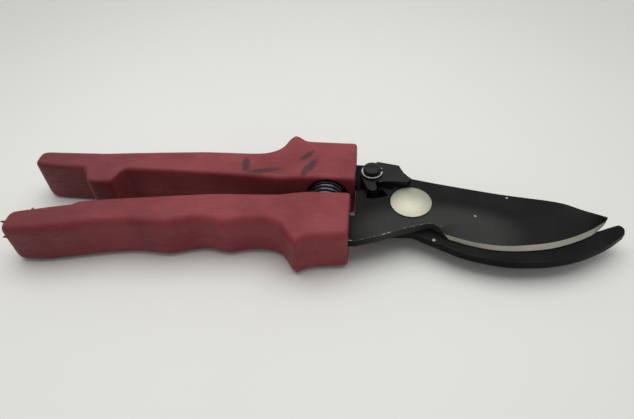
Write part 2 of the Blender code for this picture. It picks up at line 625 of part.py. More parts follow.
def make_latch(hook_half, latch_axis):
    shank = RIVET_SHANK_RADIUS
    bore = shank + RIVET_RUNNING_GAP
    bm = bmesh.new()
    tail = HOOK_BOTTOM_Z - SEAT_GAP - RIVET_TAIL_HEIGHT
    profile = [(0, tail), (RIVET_TAIL_FLAT_SHARE * RIVET_TAIL_RADIUS, tail)]
    profile += [(RIVET_TAIL_RADIUS, tail + RIVET_TAIL_RIM_SHARE * RIVET_TAIL_HEIGHT)]
    profile += [(RIVET_TAIL_RADIUS, HOOK_BOTTOM_Z - SEAT_GAP), (shank, HOOK_BOTTOM_Z - SEAT_GAP)]
    profile += [(shank, RIVET_HEAD_Z)]
    half_height = RIVET_HEAD_HEIGHT / 2
    profile += dome_profile(RIVET_HEAD_RADIUS, half_height, half_height, RIVET_HEAD_Z)
    turned(bm, profile, 32)
    finish("latch_rivet", bm, black_steel("rivet_steel"), hook_half, (RIVET_X, RIVET_Y, 0), smooth=True)

    spacer_height = LEVER_BOTTOM_Z - SEAT_GAP - SPACER_BOTTOM_Z
    dark = black_steel("spacer_steel")
    size = (spacer_height, bore, SPACER_RADIUS)
    washer("latch_spacer", SPACER_BOTTOM_Z, *size, dark, hook_half, RIVET_X, RIVET_Y)
    bright = make_material("latch_washer_zinc", (0.60, 0.60, 0.60), 0.3, 1.0)
    size = (LATCH_WASHER_THICKNESS, bore, LATCH_WASHER_RADIUS)
    ring = washer("latch_spring_washer", LATCH_WASHER_Z, *size, bright, hook_half, RIVET_X, RIVET_Y)
    place = (RIVET_X, RIVET_Y, LATCH_WASHER_TURN)
    cut(ring, split_cutter("latch_washer_split", LATCH_WASHER_SPLIT, bore, *place))

    rivet_point = (RIVET_X, RIVET_Y)
    outline = straight_path(LEVER_FLAG) + straight_path(TONGUE_RIGHT)
    end = polar(TAB_REACH, TAB_ANGLE, rivet_point)
    tongue_radius = TAB_DEPTH / 2 + TONGUE_END_EXTRA
    tongue_centre = (end[0], end[1] + TONGUE_END_EXTRA)
    outline += arc(tongue_radius, *TONGUE_END_SWEEP, 6, tongue_centre)
    outline += straight_path(TONGUE_LEFT)
    outline += arc(LEVER_HUB_RADIUS, *LEVER_HUB_SWEEP, 12, rivet_point)
    outline = [(x - RIVET_X, y - RIVET_Y) for x, y in without_doubles(outline)]
    bm = bmesh.new()
    closed_prism(bm, outline, LEVER_BOTTOM_Z, LEVER_TOP_Z)
    lever = finish("latch_lever", bm, black_steel("lever_steel"), latch_axis)
    tab = [(TAB_REACH - TAB_DEPTH / 2, -TAB_WIDTH / 2), (TAB_REACH + TAB_DEPTH / 2, -TAB_WIDTH / 2)]
    tab += [(TAB_REACH + TAB_DEPTH / 2, TAB_WIDTH / 2), (TAB_REACH - TAB_DEPTH / 2, TAB_WIDTH / 2)]
    bm = bmesh.new()
    closed_prism(bm, tab, HOOK_TOP_Z + TAB_FLOOR_GAP, LEVER_TOP_Z - LEVER_THICKNESS / 2)
    bent_end = finish("bent_tab", bm, None)
    bent_end.rotation_euler = (0, 0, TAB_ANGLE)
    cut(lever, bent_end)
    lever.modifiers[-1].operation = "UNION"
    cut(lever, hole_cutter("lever_bore", bore))


def make_spring(hook_half):
    """A compression spring with one closed turn at each end, its axis along Y."""
    into_pocket = POCKET_DEPTH - SPRING_END_GAP - SPRING_WIRE_RADIUS
    hook_seat = wall_curve(HOOK_GRIP_INNER)(SPRING_X) + into_pocket
    blade_seat = wall_curve(BLADE_GRIP_INNER)(SPRING_X) - into_pocket
    closed_pitch = 2 * SPRING_WIRE_RADIUS + SPRING_CLOSED_GAP
    points_per_turn = 20
    turns = SPRING_ACTIVE_TURNS + 2
    pitch = (hook_seat - blade_seat - 2 * closed_pitch) / SPRING_ACTIVE_TURNS
    curve = bpy.data.curves.new("coil_spring", "CURVE")
    curve.dimensions = "3D"
    curve.bevel_depth = SPRING_WIRE_RADIUS
    curve.bevel_resolution = 2
    curve.use_fill_caps = True
    line = curve.splines.new("POLY")
    count = turns * points_per_turn + 1
    line.points.add(count - 1)
    for i in range(count):
        turn = i / points_per_turn
        along = closed_pitch * min(turn, 1) + pitch * min(max(turn - 1, 0), SPRING_ACTIVE_TURNS)
        along += closed_pitch * max(turn - 1 - SPRING_ACTIVE_TURNS, 0)
        x, z = polar(SPRING_COIL_RADIUS, 2 * math.pi * turn)
        line.points[i].co = (x, blade_seat + along, z, 1)
    curve.materials.append(black_steel("spring_steel"))
    spring = bpy.data.objects.new("coil_spring", curve)
    spring.location = (SPRING_X, 0, MID_HEIGHT)
    spring.parent = hook_half
    bpy.context.scene.collection.objects.link(spring)


def main():
    for obj in list(bpy.data.objects):
        bpy.data.objects.remove(obj)
    hook_half = add_axis("hook_half", PIVOT_X, PIVOT_Y)
    blade_half = add_axis("blade_half_on_pivot", PIVOT_X, PIVOT_Y)
    latch_axis = add_axis("latch_on_rivet", PIVOT_X + RIVET_X, PIVOT_Y + RIVET_Y)
    make_grips(hook_half, blade_half)
    make_hook_plate(hook_half)
    make_blade_plate(blade_half)
    make_pivot(hook_half)
    make_latch(hook_half, latch_axis)
    make_spring(hook_half)


main()
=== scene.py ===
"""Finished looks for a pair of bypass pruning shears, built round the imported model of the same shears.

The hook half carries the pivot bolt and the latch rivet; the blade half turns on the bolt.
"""

import json
import math

import bmesh
import bpy
from bpy.props import FloatProperty, FloatVectorProperty, IntProperty, PointerProperty
from mathutils import Matrix, Vector, noise
from mathutils.bvhtree import BVHTree


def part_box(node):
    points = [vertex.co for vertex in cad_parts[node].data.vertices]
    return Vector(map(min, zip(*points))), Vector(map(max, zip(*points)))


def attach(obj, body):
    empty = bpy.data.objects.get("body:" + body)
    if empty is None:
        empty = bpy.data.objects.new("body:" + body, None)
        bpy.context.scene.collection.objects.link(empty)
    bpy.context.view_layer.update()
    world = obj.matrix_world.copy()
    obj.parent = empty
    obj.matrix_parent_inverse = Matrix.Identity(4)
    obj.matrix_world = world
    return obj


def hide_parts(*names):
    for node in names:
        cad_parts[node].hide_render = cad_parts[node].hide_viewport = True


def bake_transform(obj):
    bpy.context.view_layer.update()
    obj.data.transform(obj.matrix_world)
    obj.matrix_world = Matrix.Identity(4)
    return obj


bl_info = {
    "name": "Pruning Shears Finish",
    "version": (1, 0, 0),
    "blender": (4, 5, 0),
    "location": "3D View > Sidebar > Shears",
    "description": "Makes the finished pieces, materials and stage of a pair of bypass pruning shears",
    "category": "Object",
}

MM = 0.001

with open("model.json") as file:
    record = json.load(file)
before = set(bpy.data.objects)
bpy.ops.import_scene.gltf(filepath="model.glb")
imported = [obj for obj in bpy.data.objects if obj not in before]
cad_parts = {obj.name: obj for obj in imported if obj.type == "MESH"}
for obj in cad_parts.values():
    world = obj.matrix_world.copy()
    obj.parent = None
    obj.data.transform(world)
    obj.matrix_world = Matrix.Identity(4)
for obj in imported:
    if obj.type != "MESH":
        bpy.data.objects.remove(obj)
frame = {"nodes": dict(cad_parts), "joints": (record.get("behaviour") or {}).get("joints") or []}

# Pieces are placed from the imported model's own joints and boxes.
PIVOT = Vector(next(j["pos_m"] for j in frame["joints"] if j["name"] == "main_pivot"))
RIVET = Vector(next(j["pos_m"] for j in frame["joints"] if j["name"] == "latch_pivot"))
BLADE_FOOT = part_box("blade_plate")[0].z
BLADE_GRIP_LOW, BLADE_GRIP_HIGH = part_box("blade_grip")
SPRING_LOW, SPRING_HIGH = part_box("coil_spring")
HOOK_GRIP_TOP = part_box("hook_grip")[1].z

# The stage, in metres, degrees and, for the lens and its sensor, millimetres
TABLE_REACH = 1.6
# The middle and the reach of the pool of light painted on the table top
PAINTED_LIGHT_POOL_PLACE = (-0.02, -0.01, 0)
PAINTED_LIGHT_POOL_REACH = 0.42
NEAR_SIDE_SHARE = 0.5
LAMP_SIZE = (1.3, 0.9)
LAMP_PLACE = Vector((0.0, 0.24, 0.95))
LAMP_COLOUR = (1.0, 0.99, 0.965)
SKY_COLOUR = "#f4f5f3"
CAMERA_PLACE = (0.018584, -0.133514, 0.146)
CAMERA_TURN = (43.4581, 2.1334, 5.0504)
CAMERA_LENS = 30.662
CAMERA_SENSOR = 36.0
CAMERA_NEAREST = 0.01


def linear(hex_colour):
    """An sRGB hex colour such as "#804040" as the linear RGBA that shaders work in."""
    coded = [int(hex_colour[i : i + 2], 16) / 255 for i in (1, 3, 5)]
    return (*[c / 12.92 if c <= 0.04045 else ((c + 0.055) / 1.055) ** 2.4 for c in coded], 1.0)


def colour_property(name, description, hex_colour):
    return FloatVectorProperty(
        name=name, description=description, default=linear(hex_colour)[:3],
        subtype="COLOR", min=0, max=1, size=3,
    )


def length_property(name, description, millimetres):
    return FloatProperty(
        name=name, description=description, default=millimetres * MM,
        min=0, precision=5, unit="LENGTH", subtype="DISTANCE",
    )


class ShearsGripSettings(bpy.types.PropertyGroup):
    """Sizes and colours of the two moulded grips"""

    plastic: colour_property("Plastic", "Main colour of the moulded grips", "#8b383e")
    plastic_deep: colour_property("Deep plastic", "Colour of the darker clouds in the plastic", "#7c2b33")
    chalk: colour_property("Chalk", "Pale bloom where the plastic is rubbed", "#9d5556")
    # Painted shade: the colour that the grips' rear ends are painted towards, standing in for the weaker light
    # there
    handled: colour_property("Handled plastic", "Plastic darkened by the hand at the rear", "#5c2229")
    ink: colour_property("Ink", "Old ink smears on the upper grip", "#2c1a20")
    ink_strength: FloatProperty(
        name="Ink strength", description="How dark the smears are", default=0.78,
        min=0, max=1, subtype="FACTOR",
    )
    mesh_step: length_property("Mesh step", "Spacing of the grips' surface points", 0.42)
    lumpiness: length_property("Lumpiness", "Depth of the hollows that moulding leaves", 0.072)


class ShearsSteelSettings(bpy.types.PropertyGroup):
    """Sizes and colours of the steel pieces"""

    coating: colour_property("Coating", "Black coating of the plates, lever and rivet", "#101011")
    # The lighter coating of the clouds, the scuffs and the soft patch round the bolt
    coating_dull: colour_property("Dull coating", "Coating where it is handled and dusty", "#363635")
    bare: colour_property("Bare steel", "Steel that shows where the coating is gone", "#a9a69f")
    ground: colour_property("Ground steel", "The blade's freshly ground bevel", "#bab8ae")
    nickel: colour_property("Nickel", "Plating of the pivot bolt", "#b6b6a6")
    zinc: colour_property("Zinc", "Plating of the washers and the nut", "#b9bab8")
    wire: colour_property("Spring wire", "Blackened wire of the spring and the lock washer", "#59595e")
    edge_rounding: length_property("Edge rounding", "Radius rolled onto the stamped plates' edges", 0.28)
    wire_radius: length_property("Wire radius", "Radius of the spring's wire", 0.75)
    active_turns: IntProperty(name="Active turns", description="Open turns of the spring", default=6, min=1)


class ShearsStageSettings(bpy.types.PropertyGroup):
    """The floor and the light"""

    floor: colour_property("Floor", "Colour of the table top", "#e9e9e6")
    sky_strength: FloatProperty(
        name="Sky strength", description="Light from all round", default=0.66, min=0
    )
    lamp_power: FloatProperty(
        name="Lamp power", description="Watts of the large soft lamp", default=7.2, min=0
    )


# Materials

COLOURS = {"data_type": "RGBA"}
SMOOTH = {"interpolation_type": "SMOOTHSTEP"}
PRODUCT = {"operation": "MULTIPLY"}


def add_node(tree, kind, settings=None, **inputs):
    """Adds a node, with its own properties as settings and a value, socket or node for each input.

    An input goes by its socket's name in lower case, with _ for a space and _2 after a second of that name.
    A node given as an input is linked from its first live output."""
    node = tree.nodes.new(kind)
    for key, value in (settings or {}).items():
        setattr(node, key, value)
    sockets = {}
    for socket in node.inputs:
        key = socket.name.lower().replace(" ", "_")
        if socket.enabled:
            sockets[key + "_2" if key in sockets else key] = socket
    for key, value in inputs.items():
        if isinstance(value, bpy.types.Node):
            value = next(output for output in value.outputs if output.enabled)
        if isinstance(value, bpy.types.NodeSocket):
            tree.links.new(value, sockets[key])
        else:
            sockets[key].default_value = value
    return node


def scale_for(millimetres):
    """The texture scale at which a pattern repeats about once in this many millimetres."""
    return 1 / (millimetres * MM)


def new_material(name):
    """An empty node material: the material, its tree and the object coordinates."""
    material = bpy.data.materials.new(name)
    material.use_nodes = True
    tree = material.node_tree
    tree.nodes.clear()
    return material, tree, add_node(tree, "ShaderNodeTexCoord").outputs["Object"]


def rgba(colour, share=1.0):
    """A colour property as RGBA, darkened to this share of itself."""
    return (*[channel * share for channel in colour], 1.0)


# Painted shade: the plastic is painted darkest at the first of these places along X, where the light is
# weaker, and left plain from the second.
REAR_SHADE_DARKEST = BLADE_GRIP_LOW.x - 8 * MM
REAR_SHADE_END = BLADE_GRIP_HIGH.x - 45 * MM

# Ink smears on the upper grip: the centre from the pivot, the length and the width, all in mm, then the turn
# in degrees. They fade out at INK_DEPTH below the grip's top, so none shows on its underside.
INK_SMEARS = (
    ((-58.6, 10.8), 11.0, 4.6, 94),
    ((-51.6, 7.8), 17.0, 4.0, 12),
    ((-35.8, 10.2), 15.0, 4.6, 62),
    ((-37.2, 16.6), 11.0, 3.4, 50),
)
INK_DEPTH = 6 * MM

# The mould's parting line: half the width of its crest and of its foot
PARTING_CREST = 0.05 * MM
PARTING_FOOT = 0.22 * MM


def moulded_pvc(name, grips, smeared):
    """Soft PVC, injection moulded: matt and slightly cloudy, rubbed lengthways, with a fine parting line."""
    material, tree, place = new_material(name)
    cloud = add_node(
        tree, "ShaderNodeTexNoise", vector=place, scale=scale_for(16), detail=4.0, roughness=0.55
    )
    clouded = add_node(tree, "ShaderNodeMapRange", SMOOTH, value=cloud, from_min=0.36, from_max=0.62)
    colour = add_node(
        tree, "ShaderNodeMix", COLOURS, factor=clouded, a=rgba(grips.plastic_deep), b=rgba(grips.plastic)
    )
    # Painted shade: the rear ends are painted darker, standing in for the light that falls off there.
    axes = add_node(tree, "ShaderNodeSeparateXYZ", vector=place)
    painted_rear_shade = add_node(
        tree, "ShaderNodeMapRange", SMOOTH, value=axes.outputs["X"],
        from_min=REAR_SHADE_DARKEST, from_max=REAR_SHADE_END, to_min=0.62, to_max=0.0,
    )
    colour = add_node(tree, "ShaderNodeMix", COLOURS, factor=painted_rear_shade, a=colour, b=rgba(grips.handled))
    along = add_node(tree, "ShaderNodeMapping", vector=place, scale=(0.12, 1, 1))
    rub = add_node(
        tree, "ShaderNodeTexNoise", vector=along, scale=scale_for(1.1), detail=5.0, roughness=0.7
    )
    bloom = add_node(tree, "ShaderNodeTexNoise", vector=place, scale=scale_for(7), detail=3.0, roughness=0.6)
    marked = add_node(tree, "ShaderNodeMapRange", SMOOTH, value=rub, from_min=0.5, from_max=0.78)
    patchy = add_node(
        tree, "ShaderNodeMapRange", SMOOTH, value=bloom, from_min=0.4, from_max=0.7, to_max=0.45
    )
    rubbed = add_node(tree, "ShaderNodeMath", PRODUCT, value=marked, value_2=patchy)
    colour = add_node(tree, "ShaderNodeMix", COLOURS, factor=rubbed, a=colour, b=rgba(grips.chalk))
    dust = add_node(tree, "ShaderNodeTexNoise", vector=place, scale=scale_for(0.8), detail=2.0, roughness=0.5)
    lightened = add_node(
        tree, "ShaderNodeMapRange", SMOOTH, value=dust, from_min=0.7, from_max=0.82, to_max=0.35
    )
    colour = add_node(tree, "ShaderNodeMix", COLOURS, factor=lightened, a=colour, b=rgba(grips.chalk))

    if smeared:
        fibre = add_node(
            tree, "ShaderNodeTexNoise", vector=place, scale=scale_for(2.2), detail=4.0, roughness=0.7
        )
        for (x, y), length, width, turn in INK_SMEARS:
            local = add_node(
                tree, "ShaderNodeMapping", {"vector_type": "TEXTURE"}, vector=place,
                location=(PIVOT.x + x * MM, PIVOT.y + y * MM, HOOK_GRIP_TOP),
                rotation=(0, 0, math.radians(turn)), scale=(length / 2 * MM, width / 2 * MM, INK_DEPTH),
            )
            ball = add_node(tree, "ShaderNodeTexGradient", {"gradient_type": "SPHERICAL"}, vector=local)
            near = add_node(tree, "ShaderNodeMapRange", SMOOTH, value=ball, from_min=0.0, from_max=0.35)
            feathered = add_node(tree, "ShaderNodeMath", {"operation": "ADD"}, value=ball, value_2=fibre)
            soft = add_node(
                tree, "ShaderNodeMapRange", SMOOTH, value=feathered,
                from_min=0.55, from_max=1.15, to_max=grips.ink_strength,
            )
            inked = add_node(tree, "ShaderNodeMath", PRODUCT, value=near, value_2=soft)
            colour = add_node(tree, "ShaderNodeMix", COLOURS, factor=inked, a=colour, b=rgba(grips.ink))

    # The two halves of the mould meet at mid height and leave a hair-fine raised line.
    height = add_node(
        tree, "ShaderNodeMath", {"operation": "SUBTRACT"}, value=axes.outputs["Z"], value_2=PIVOT.z
    )
    off_line = add_node(tree, "ShaderNodeMath", {"operation": "ABSOLUTE"}, value=height)
    line = add_node(
        tree, "ShaderNodeMapRange", SMOOTH, value=off_line,
        from_min=PARTING_CREST, from_max=PARTING_FOOT, to_min=1.0, to_max=0.0,
    )
    faint = add_node(tree, "ShaderNodeMath", PRODUCT, value=line, value_2=0.22)
    colour = add_node(tree, "ShaderNodeMix", COLOURS, factor=faint, a=colour, b=rgba(grips.plastic_deep))

    worn = add_node(
        tree, "ShaderNodeMapRange", SMOOTH, value=rub, from_min=0.3, from_max=0.75, to_min=0.62, to_max=0.46
    )
    # The mould's spark-eroded grain is about 0.1 mm; it is drawn at 0.45 mm so that it shows.
    grain = add_node(
        tree, "ShaderNodeTexNoise", vector=place, scale=scale_for(0.45), detail=3.0, roughness=0.6
    )
    fine = add_node(tree, "ShaderNodeBump", strength=0.22, distance=0.06 * MM, height=grain)
    scored = add_node(tree, "ShaderNodeBump", strength=0.25, distance=0.08 * MM, height=rub, normal=fine)
    ridge = add_node(tree, "ShaderNodeBump", strength=0.6, distance=0.12 * MM, height=line, normal=scored)
    shader = add_node(
        tree, "ShaderNodeBsdfPrincipled", base_color=colour, roughness=worn, ior=1.5,
        specular_ior_level=0.3, normal=ridge,
    )
    add_node(tree, "ShaderNodeOutputMaterial", surface=shader)
    return material


# The enamel's deeper chips: a place from the pivot and a radius, in mm
CHIPS = (
    ((32.7, 4.0, 3.2), 0.7),
    ((21.0, -5.1, 3.2), 0.7),
    ((7.4, -13.5, -0.1), 0.9),
)

# The coating is lighter in a soft patch here, on the low side of the bolt and along the foot of the grind.
LIGHTER_PATCH_PLACE = PIVOT + Vector((8, -12, 0)) * MM
LIGHTER_PATCH_REACH = Vector((32, 14, 30)) * MM


def stove_enamel(name, steel, bare_share, lighter_patch_share, gloss):
    """Mild steel, stamped and stove enamelled black: satin, lighter in a soft patch round the bolt, bare in
    chips.
    """
    material, tree, place = new_material(name)
    cloud = add_node(tree, "ShaderNodeTexNoise", vector=place, scale=scale_for(14), detail=5.0, roughness=0.6)
    clouded = add_node(
        tree, "ShaderNodeMapRange", SMOOTH, value=cloud, from_min=0.4, from_max=0.68, to_max=0.18
    )
    colour = add_node(
        tree, "ShaderNodeMix", COLOURS, factor=clouded, a=rgba(steel.coating), b=rgba(steel.coating_dull)
    )
    patch = add_node(
        tree, "ShaderNodeMapping", {"vector_type": "TEXTURE"}, vector=place,
        location=LIGHTER_PATCH_PLACE, scale=LIGHTER_PATCH_REACH,
    )
    ball = add_node(tree, "ShaderNodeTexGradient", {"gradient_type": "SPHERICAL"}, vector=patch)
    lightened = add_node(
        tree, "ShaderNodeMapRange", SMOOTH, value=ball, from_min=0.0, from_max=0.45, to_max=lighter_patch_share
    )
    colour = add_node(tree, "ShaderNodeMix", COLOURS, factor=lightened, a=colour, b=rgba(steel.coating_dull))
    slanted = add_node(
        tree, "ShaderNodeMapping", vector=place, rotation=(0, 0, math.radians(24)), scale=(1, 0.07, 1)
    )
    scuff = add_node(
        tree, "ShaderNodeTexNoise", vector=slanted, scale=scale_for(0.5), detail=4.0, roughness=0.65
    )
    scuffed = add_node(
        tree, "ShaderNodeMapRange", SMOOTH, value=scuff, from_min=0.62, from_max=0.8, to_max=0.22
    )
    colour = add_node(tree, "ShaderNodeMix", COLOURS, factor=scuffed, a=colour, b=rgba(steel.coating_dull))
    chips = add_node(
        tree, "ShaderNodeTexNoise", vector=place, scale=scale_for(1.4), detail=4.0, roughness=0.6
    )
    # About half of the noise is over 0.5, and almost none of it is over 0.8.
    threshold = 0.80 - 0.30 * bare_share
    bare = add_node(
        tree, "ShaderNodeMapRange", SMOOTH, value=chips, from_min=threshold, from_max=threshold + 0.035
    )
    for chip_place, radius in CHIPS:
        spot = add_node(
            tree, "ShaderNodeMapping", {"vector_type": "TEXTURE"}, vector=place,
            location=PIVOT + Vector(chip_place) * MM, scale=(radius * MM, radius * MM, radius * MM),
        )
        ball = add_node(tree, "ShaderNodeTexGradient", {"gradient_type": "SPHERICAL"}, vector=spot)
        ragged = add_node(tree, "ShaderNodeMath", {"operation": "ADD"}, value=ball, value_2=chips)
        chip = add_node(
            tree, "ShaderNodeMapRange", SMOOTH, value=ragged, from_min=0.84, from_max=1.0, to_max=0.8
        )
        bare = add_node(tree, "ShaderNodeMath", {"operation": "MAXIMUM"}, value=bare, value_2=chip)
    colour = add_node(tree, "ShaderNodeMix", COLOURS, factor=bare, a=colour, b=rgba(steel.bare))
    metal = add_node(tree, "ShaderNodeMath", PRODUCT, value=bare, value_2=0.9)
    satin = add_node(
        tree, "ShaderNodeMapRange", SMOOTH, value=cloud, from_min=0.3, from_max=0.7, to_min=0.36, to_max=0.52
    )
    peel = add_node(tree, "ShaderNodeTexNoise", vector=place, scale=scale_for(0.7), detail=2.0, roughness=0.5)
    skin = add_node(tree, "ShaderNodeBump", strength=0.12, distance=0.05 * MM, height=peel)
    dents = add_node(
        tree, "ShaderNodeBump", {"invert": True}, strength=0.35, distance=0.05 * MM, height=bare, normal=skin
    )
    shader = add_node(
        tree, "ShaderNodeBsdfPrincipled", base_color=colour, metallic=metal, roughness=satin,
        specular_ior_level=gloss, normal=dents,
    )
    add_node(tree, "ShaderNodeOutputMaterial", surface=shader)
    return material


def uncoated_metal(name, colour, tarnish, satin, drawn_out, mark_size, mark_depth):
    """What the unpainted metals share: soft clouds of tarnish over marks of one size and depth, in mm.

    The marks are drawn out along each axis whose share in drawn_out is under 1. They swing the roughness
    between the two values in satin."""
    material, tree, place = new_material(name)
    cloud = add_node(
        tree, "ShaderNodeTexNoise", vector=place, scale=scale_for(3.2), detail=4.0, roughness=0.6
    )
    clouded = add_node(tree, "ShaderNodeMapRange", SMOOTH, value=cloud, from_min=0.34, from_max=0.66)
    shade = add_node(
        tree, "ShaderNodeMix", COLOURS, factor=clouded, a=rgba(colour, 1 - tarnish), b=rgba(colour)
    )
    stretched = add_node(tree, "ShaderNodeMapping", vector=place, scale=drawn_out)
    marks = add_node(
        tree, "ShaderNodeTexNoise", vector=stretched, scale=scale_for(mark_size), detail=4.0, roughness=0.7
    )
    rough = add_node(
        tree, "ShaderNodeMapRange", SMOOTH, value=marks,
        from_min=0.3, from_max=0.7, to_min=satin[0], to_max=satin[1],
    )
    relief = add_node(tree, "ShaderNodeBump", strength=0.3, distance=mark_depth * MM, height=marks)
    shader = add_node(
        tree, "ShaderNodeBsdfPrincipled", base_color=shade, metallic=1.0, roughness=rough, normal=relief
    )
    add_node(tree, "ShaderNodeOutputMaterial", surface=shader)
    return material


def ground_steel(name, steel):
    """Carbon steel, ground on a wheel: bright, with fine score lines that run across the bevel.

    The wheel's 60 grit scores every 0.1 mm or so; they are drawn at 0.25 mm so that they show."""
    return uncoated_metal(
        name, steel.ground, tarnish=0.06, satin=(0.62, 0.74), drawn_out=(1, 0.08, 0.3),
        mark_size=0.25, mark_depth=0.015,
    )


def satin_nickel(name, steel):
    """Steel, nickel plated over a tumbled surface: warm and satin, with a fine speckle."""
    return uncoated_metal(
        name, steel.nickel, tarnish=0.08, satin=(0.44, 0.6), drawn_out=(1, 1, 1),
        mark_size=0.35, mark_depth=0.014,
    )


def zinc_plate(name, steel):
    """Steel, zinc plated: cool and bright, with soft handling marks."""
    return uncoated_metal(
        name, steel.zinc, tarnish=0.12, satin=(0.26, 0.42), drawn_out=(1, 1, 0.4),
        mark_size=0.6, mark_depth=0.012,
    )


def blackened_wire(name, steel):
    """Spring wire, drawn and oil blackened: dark and glossy, with faint lines from the die."""
    return uncoated_metal(
        name, steel.wire, tarnish=0.25, satin=(0.2, 0.34), drawn_out=(1, 0.5, 1),
        mark_size=0.4, mark_depth=0.008,
    )


def laminate(name, stage):
    """Melamine table top, pressed against a fine steel plate: pale and matt, with a painted pool of light that
    leaves it darker away from its middle.
    """
    material, tree, place = new_material(name)
    cloud = add_node(
        tree, "ShaderNodeTexNoise", vector=place, scale=scale_for(120), detail=3.0, roughness=0.5
    )
    clouded = add_node(tree, "ShaderNodeMapRange", SMOOTH, value=cloud, from_min=0.35, from_max=0.65)
    colour = add_node(
        tree, "ShaderNodeMix", COLOURS, factor=clouded, a=rgba(stage.floor, 0.985), b=rgba(stage.floor)
    )
    # Painted light: the table is painted darker away from the pool's middle, standing in for the lamp's light
    # falling off.
    painted_pool = add_node(
        tree, "ShaderNodeMapping", {"vector_type": "TEXTURE"}, vector=place,
        location=PAINTED_LIGHT_POOL_PLACE, scale=(PAINTED_LIGHT_POOL_REACH, PAINTED_LIGHT_POOL_REACH, 1),
    )
    ball = add_node(tree, "ShaderNodeTexGradient", {"gradient_type": "SPHERICAL"}, vector=painted_pool)
    painted_light = add_node(tree, "ShaderNodeMapRange", SMOOTH, value=ball, from_min=0.3, from_max=0.86)
    colour = add_node(tree, "ShaderNodeMix", COLOURS, factor=painted_light, a=rgba(stage.floor, 0.74), b=colour)
    shader = add_node(
        tree, "ShaderNodeBsdfPrincipled", base_color=colour, roughness=0.7, specular_ior_level=0.25
    )
    add_node(tree, "ShaderNodeOutputMaterial", surface=shader)
    return material


# Meshes

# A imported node's triangles are merged over these distances, and across edges flatter than this many degrees.
MERGE_DISTANCE = 0.002 * MM
SLIVER_LENGTH = 0.03 * MM
FLAT_EDGE = 0.6

# An outer edge sharper than this many degrees gets its radius in this many steps.
SHARP_EDGE = 40
RADIUS_STEPS = 2


def place_piece(name, bm, materials, body, replaced=(), sharp_angle=38):
    """Makes the mesh an object at the origin, and hangs it on its body."""
    mesh = bpy.data.meshes.new(name)
    bm.to_mesh(mesh)
    bm.free()
    for material in materials:
        mesh.materials.append(material)
    mesh.shade_smooth()
    mesh.set_sharp_from_angle(angle=math.radians(sharp_angle))
    piece = bpy.data.objects.new(name, mesh)
    bpy.context.scene.collection.objects.link(piece)
    if body:
        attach(piece, body)
    if replaced:
        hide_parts(*replaced)
    return piece


def joined_copy(node):
    """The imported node's triangles, joined up and merged into whole faces."""
    bm = bmesh.new()
    bm.from_mesh(frame["nodes"][node].data)
    bmesh.ops.remove_doubles(bm, verts=bm.verts[:], dist=MERGE_DISTANCE)
    bmesh.ops.dissolve_degenerate(bm, dist=SLIVER_LENGTH, edges=bm.edges[:])
    bmesh.ops.dissolve_limit(
        bm, angle_limit=math.radians(FLAT_EDGE), verts=bm.verts[:], edges=bm.edges[:],
        use_dissolve_boundaries=False,
    )
    return bm


def round_edges(bm, width, left_alone=None):
    """Rolls a radius onto the outer edges. The new faces take the second material."""
    edges = [
        edge
        for edge in bm.edges
        if len(edge.link_faces) == 2
        and edge.is_convex
        and edge.calc_face_angle() > math.radians(SHARP_EDGE)
        and not (left_alone and left_alone(edge))
    ]
    made = bmesh.ops.bevel(
        bm, geom=edges, offset=width, offset_type="OFFSET", segments=RADIUS_STEPS, profile=0.5,
        affect="EDGES", clamp_overlap=False, material=-1,
    )
    for face in made["faces"]:
        face.material_index = 1


def rolled_piece(name, node, materials, body, radius):
    """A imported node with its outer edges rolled, and its flat faces kept flat in shading next to them."""
    bm = joined_copy(node)
    round_edges(bm, radius)
    piece = place_piece(name, bm, materials, body, [node])
    modifier = piece.modifiers.new("flat_faces", "WEIGHTED_NORMAL")
    modifier.keep_sharp = True
    modifier.weight = 100


